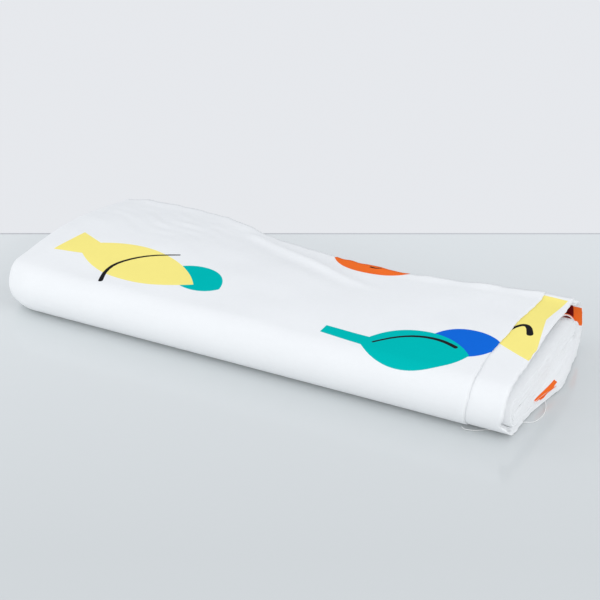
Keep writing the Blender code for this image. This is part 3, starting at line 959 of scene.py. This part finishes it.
class SetStage(bpy.types.Operator):
    """Place the camera, the pale floor and the soft studio lights"""

    bl_idname = "cloth_bundle.set_stage"
    bl_label = "Stage"

    LOOK_AT = Vector((-0.015, 0.0295, 0.0))
    FLOOR_EDGE = 0.120           # from the point looked at back to the floor's far edge
    FLOOR_DEPTH, FLOOR_WIDTH = 3.2, 5.0
    FLOOR_Z = -0.0003            # a hair below the cloth
    SEAM_DEPTH = 0.0024
    SOFTBOXES = (
        ("front_softbox", (-0.55, -1.5, 0.28), 1.0, "key_power"),
        ("left_softbox", (-0.85, -0.25, 0.55), 0.6, "left_power"),
        ("side_softbox", (1.3, -0.35, 0.45), 0.8, "side_power"),
    )

    def execute(self, context):
        _, _, stage = settings()
        back = Vector((math.sin(stage.azimuth) * math.cos(stage.elevation),
                       -math.cos(stage.azimuth) * math.cos(stage.elevation),
                       math.sin(stage.elevation)))
        deselect_all()
        bpy.ops.object.camera_add(location=self.LOOK_AT + back * stage.distance)
        camera = context.object
        camera.name = "bundle_camera"
        camera.rotation_mode = "QUATERNION"
        camera.rotation_quaternion = (-back).to_track_quat("-Z", "Y")
        camera.data.lens = stage.lens
        camera.data.sensor_width = 36.0
        camera.data.dof.use_dof = False
        context.scene.camera = camera
        self.add_floor(stage)
        for name, place, size, power in self.SOFTBOXES:
            self.add_light(name, Vector(place), size, getattr(stage, power))
        self.add_world(stage)
        context.scene.view_settings.view_transform = "Standard"
        return {"FINISHED"}

    def add_floor(self, stage):
        """A floor whose far edge runs square to the camera, with a darker seam behind it."""
        turn = Matrix.Rotation(stage.azimuth, 4, "Z")
        forward = turn @ Vector((0.0, 1.0, 0.0))
        floor = self.add_strip("studio_floor", 8, turn, self.FLOOR_EDGE - self.FLOOR_DEPTH / 2.0,
                               self.FLOOR_DEPTH)
        floor.data.materials.append(stage_material("pale_floor", stage.floor, 0.13, 1.0, forward))
        seam = self.add_strip("studio_floor_seam", 2, turn, self.FLOOR_EDGE + self.SEAM_DEPTH / 2.0,
                              self.SEAM_DEPTH)
        seam.data.materials.append(stage_material("floor_seam", stage.seam, 0.6, 0.2))

    def add_strip(self, name, cells, turn, ahead, depth):
        """A flat strip of floor, its middle this far ahead of the point looked at."""
        deselect_all()
        bpy.ops.mesh.primitive_grid_add(x_subdivisions=cells, y_subdivisions=cells, size=1.0)
        strip = bpy.context.object
        strip.name = name
        middle = self.LOOK_AT + turn @ Vector((0.0, ahead, 0.0))
        middle.z = self.FLOOR_Z
        strip.data.transform(Matrix.Translation(middle) @ turn
                             @ Matrix.Diagonal((self.FLOOR_WIDTH, depth, 1.0, 1.0)))
        return strip

    def add_light(self, name, place, size, power):
        deselect_all()
        bpy.ops.object.light_add(type="AREA", location=place)
        light = bpy.context.object
        light.name = name
        light.data.size = size
        light.data.energy = power
        light.rotation_mode = "QUATERNION"
        light.rotation_quaternion = (-place).to_track_quat("-Z", "Y")

    def add_world(self, stage):
        world = bpy.data.worlds.new("studio")
        world.use_nodes = True
        background = world.node_tree.nodes["Background"]
        background.inputs["Color"].default_value = tuple(stage.backdrop) + (1.0,)
        background.inputs["Strength"].default_value = stage.ambience
        bpy.context.scene.world = world


class AddLooseYarns(bpy.types.Operator):
    """Lay the two loose yarns on the floor by the raw end"""

    bl_idname = "cloth_bundle.add_loose_yarns"
    bl_label = "Loose yarns"

    ROUTE_POINTS = 140
    STRAND_SHARE = 0.29          # a strand's radius, as a share of the yarn's diameter
    TWIST_STEP = 0.75            # turn of the strands from one point to the next, in radians
    LOOP_ROUTE = (
        (0.1832, -0.0610, 0.0012), (0.1853, -0.0568, 0.0008), (0.1908, -0.0525, 0.0004),
        (0.1932, -0.0431, 0.0004), (0.1916, -0.0330, 0.0004), (0.1882, -0.0251, 0.0008),
        (0.1840, -0.0203, 0.0014))
    EDGE_ROUTE = (
        (0.1546, -0.0793, 0.0008), (0.1572, -0.0803, 0.0004), (0.1620, -0.0793, 0.0004),
        (0.1662, -0.0768, 0.0004), (0.1702, -0.0742, 0.0004), (0.1750, -0.0724, 0.0004),
        (0.1800, -0.0716, 0.0004), (0.1852, -0.0722, 0.0004))

    def execute(self, context):
        sizes, _, _ = settings()
        material = yarn_material()
        for node_name, route, far_end in (("loose_yarn_loop", self.LOOP_ROUTE, "object"),
                                          ("edge_yarn", self.EDGE_ROUTE, "bare")):
            centre = smooth_route(route, self.ROUTE_POINTS)
            piece = self.twist(node_name + "_twisted", centre, sizes.yarn_diameter, material)
            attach(piece, "bundle")
            finish_piece(piece, "yarn", node_name)
        return {"FINISHED"}

    def twist(self, name, centre, diameter, material):
        """Two strands wound round the route, as one mesh made from curves."""
        strand = diameter * self.STRAND_SHARE
        reach = diameter / 2.0 - strand
        made = []
        for half_turn in (0.0, math.pi):
            curve = bpy.data.curves.new(name, "CURVE")
            curve.dimensions = "3D"
            curve.bevel_depth = strand
            curve.bevel_resolution = 2
            curve.use_fill_caps = True
            spline = curve.splines.new("POLY")
            spline.points.add(len(centre) - 1)
            for i, point in enumerate(centre):
                ahead = (centre[min(i + 1, len(centre) - 1)] - centre[max(i - 1, 0)]).normalized()
                side = ahead.cross(Vector((0.0, 0.0, 1.0))).normalized()
                up = side.cross(ahead)
                angle = half_turn + i * self.TWIST_STEP
                spot = point + (side * math.cos(angle) + up * math.sin(angle)) * reach
                spline.points[i].co = (*spot, 1.0)
            strand_object = bpy.data.objects.new(name, curve)
            bpy.context.scene.collection.objects.link(strand_object)
            made.append(strand_object)
        deselect_all()
        for strand_object in made:
            strand_object.select_set(True)
        bpy.context.view_layer.objects.active = made[0]
        bpy.ops.object.convert(target="MESH")
        bpy.ops.object.join()
        piece = bpy.context.object
        piece.name = name
        bpy.ops.object.mode_set(mode="EDIT")
        bpy.ops.mesh.select_all(action="SELECT")
        bpy.ops.mesh.remove_doubles(threshold=0.000001)
        bpy.ops.mesh.normals_make_consistent(inside=False)
        bpy.ops.object.mode_set(mode="OBJECT")
        bpy.ops.object.shade_smooth()
        piece.data.materials.clear()
        piece.data.materials.append(material)
        return piece


def smooth_route(route, count):
    """Points of a Catmull-Rom curve through the chosen route points."""
    points = [Vector(p) for p in route]
    padded = [2.0 * points[0] - points[1]] + points + [2.0 * points[-1] - points[-2]]
    spans = len(points) - 1
    result = []
    for i in range(count):
        place = i * spans / (count - 1)
        span = min(int(place), spans - 1)
        t = place - span
        a, b, c, d = padded[span:span + 4]
        result.append(0.5 * (2.0 * b + (c - a) * t + (2.0 * a - 5.0 * b + 4.0 * c - d) * t * t
                             + (3.0 * b - a - 3.0 * c + d) * t * t * t))
    return result


class AddTopPanel(bpy.types.Operator):
    """Make the loose top panel: a printed upper ply and the ply under it, which shows as a band"""

    bl_idname = "cloth_bundle.add_top_panel"
    bl_label = "Top panel"

    def execute(self, context):
        sizes, _, _ = settings()
        quick = 1.0
        span = (0.0, PANEL_LAST)
        upper = make_sheet("top_panel_upper_cloth", "outer", span, 0.0018 * quick,
                           leg_rows(0.0070 * quick, 0.030, 1.0), panel_print,
                           sizes.ply_thickness, 11)
        under = make_sheet("top_panel_under_cloth", "inner", span, 0.0020 * quick,
                           leg_rows(0.0060 * quick, 0.030, 0.10), band_fish,
                           sizes.ply_thickness, 41)
        for piece, cad, width in ((upper, "top_panel_upper_ply", 0.725),
                                  (under, "top_panel_under_ply", 0.748)):
            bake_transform(piece)
            finish_piece(piece, "printed_cotton", cad)
        return {"FINISHED"}


class AddOuterTurn(bpy.types.Operator):
    """Make the rest of the loose outer turns: bottom, rear bend and the arch below the panel"""

    bl_idname = "cloth_bundle.add_outer_turn"
    bl_label = "Outer turns"

    def execute(self, context):
        sizes, _, _ = settings()
        quick = 1.0
        span = (PANEL_LAST, WRAP_LAST)
        outer = make_sheet("outer_turn_cloth", "outer", span, 0.0028 * quick,
                           leg_rows(0.012 * quick, 0.030, 1.0), turn_print,
                           sizes.ply_thickness, 71)
        inner = make_sheet("outer_turn_lining_cloth", "inner", span, 0.0030 * quick,
                           leg_rows(0.016 * quick, 0.030, 1.0), None,
                           sizes.ply_thickness, 101)
        for piece, cad in ((outer, ("outer_turn_upper_ply", "second_turn")),
                           (inner, ("outer_turn_under_ply",))):
            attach(piece, "bundle")
            finish_piece(piece, "plain_cotton", *cad)
        return {"FINISHED"}


class AddStack(bpy.types.Operator):
    """Make the compact inner turns and the tongue that they are wound round"""

    bl_idname = "cloth_bundle.add_stack"
    bl_label = "Inner turns"

    def execute(self, context):
        sizes, _, _ = settings()
        quick = 1.0
        span = (WRAP_LAST, STACK_LAST)
        rows = leg_rows(0.024 * quick, 0.050, 1.0)
        outer = make_sheet("inner_turns_cloth", "outer", span, 0.0044 * quick, rows, stack_print,
                           sizes.packed_thickness, 131, 0.4)
        lining = make_sheet("inner_turns_lining_cloth", "inner", span, 0.0048 * quick, rows,
                            stack_print, sizes.packed_thickness, 161, 0.4)
        for piece, cad in ((outer, ("third_turn", "fourth_turn")),
                           (lining, ("fifth_turn", "sixth_turn"))):
            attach(piece, "bundle")
            finish_piece(piece, "plain_cotton", *cad)
        self.add_tongue(sizes)
        return {"FINISHED"}

    def add_tongue(self, sizes):
        """The first fold of the strip, lying flat in the middle of the stack."""
        deselect_all()
        bpy.ops.mesh.primitive_grid_add(x_subdivisions=40, y_subdivisions=30, size=1.0)
        piece = bpy.context.object
        piece.name = "core_tongue_cloth"
        piece.data.name = piece.name
        low, high = TONGUE_LOW, TONGUE_HIGH
        half_gap = sizes.ply_thickness * 1.2
        end_width = STATIONS[-1][1]
        plan = []
        for vertex in piece.data.vertices:
            share, turn = vertex.co.x + 0.5, 2.0 * vertex.co.y
            x = mix(low.x + 0.004, STACK_MIDDLE_X - 0.0010, share)
            # The first half of the turn runs forward on top, the second half back below.
            reach = min(1.0, abs(turn) / 0.97)
            y = mix(low.y, high.y, reach)
            height = mix(STACK_FRONT_HEIGHT, STACK_REAR_HEIGHT, (y - FRONT_Y) / end_width)
            z = STACK_LOW + height / 2.0
            z += math.copysign(half_gap, turn) * min(1.0, abs(turn) / 0.03) ** 0.5
            vertex.co = (x, y, z + 0.0002 * math.sin(x * 60.0))
            plan.append((x, y))
        cover_in_cotton(piece, "core_tongue", np.array(plan), None)
        only(piece)
        bpy.ops.object.mode_set(mode="EDIT")
        bpy.ops.mesh.select_all(action="SELECT")
        bpy.ops.mesh.normals_make_consistent(inside=False)
        bpy.ops.object.mode_set(mode="OBJECT")
        thicken(piece, sizes.ply_thickness)
        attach(piece, "bundle")
        finish_piece(piece, "plain_cotton", "core_tongue")


class BUNDLE_PT_panel(bpy.types.Panel):
    """Shows the bundle's settings and the buttons that make its pieces"""

    bl_idname = "BUNDLE_PT_panel"
    bl_label = "Cloth Bundle"
    bl_space_type = "VIEW_3D"
    bl_region_type = "UI"
    bl_category = "Cloth Bundle"

    def draw(self, context):
        layout = self.layout
        for group in settings():
            box = layout.box()
            for name in group.bl_rna.properties.keys():
                if name not in ("rna_type", "name"):
                    box.prop(group, name)
        for operator in OPERATORS:
            layout.operator(operator.bl_idname)


OPERATORS = (SetStage, AddLooseYarns, AddTopPanel, AddOuterTurn, AddStack)
CLASSES = (BundleSizes, PrintColours, BundleStage, *OPERATORS, BUNDLE_PT_panel)


def register():
    for cls in CLASSES:
        bpy.utils.register_class(cls)
    bpy.types.Scene.bundle_sizes = bpy.props.PointerProperty(type=BundleSizes)
    bpy.types.Scene.print_colours = bpy.props.PointerProperty(type=PrintColours)
    bpy.types.Scene.bundle_stage = bpy.props.PointerProperty(type=BundleStage)


def unregister():
    for name in ("bundle_sizes", "print_colours", "bundle_stage"):
        delattr(bpy.types.Scene, name)
    for cls in reversed(CLASSES):
        bpy.utils.unregister_class(cls)


def main():
    register()
    bpy.ops.cloth_bundle.set_stage()
    bpy.ops.cloth_bundle.add_loose_yarns()
    bpy.ops.cloth_bundle.add_top_panel()
    bpy.ops.cloth_bundle.add_outer_turn()
    bpy.ops.cloth_bundle.add_stack()


if __name__ == "__main__":
    main()
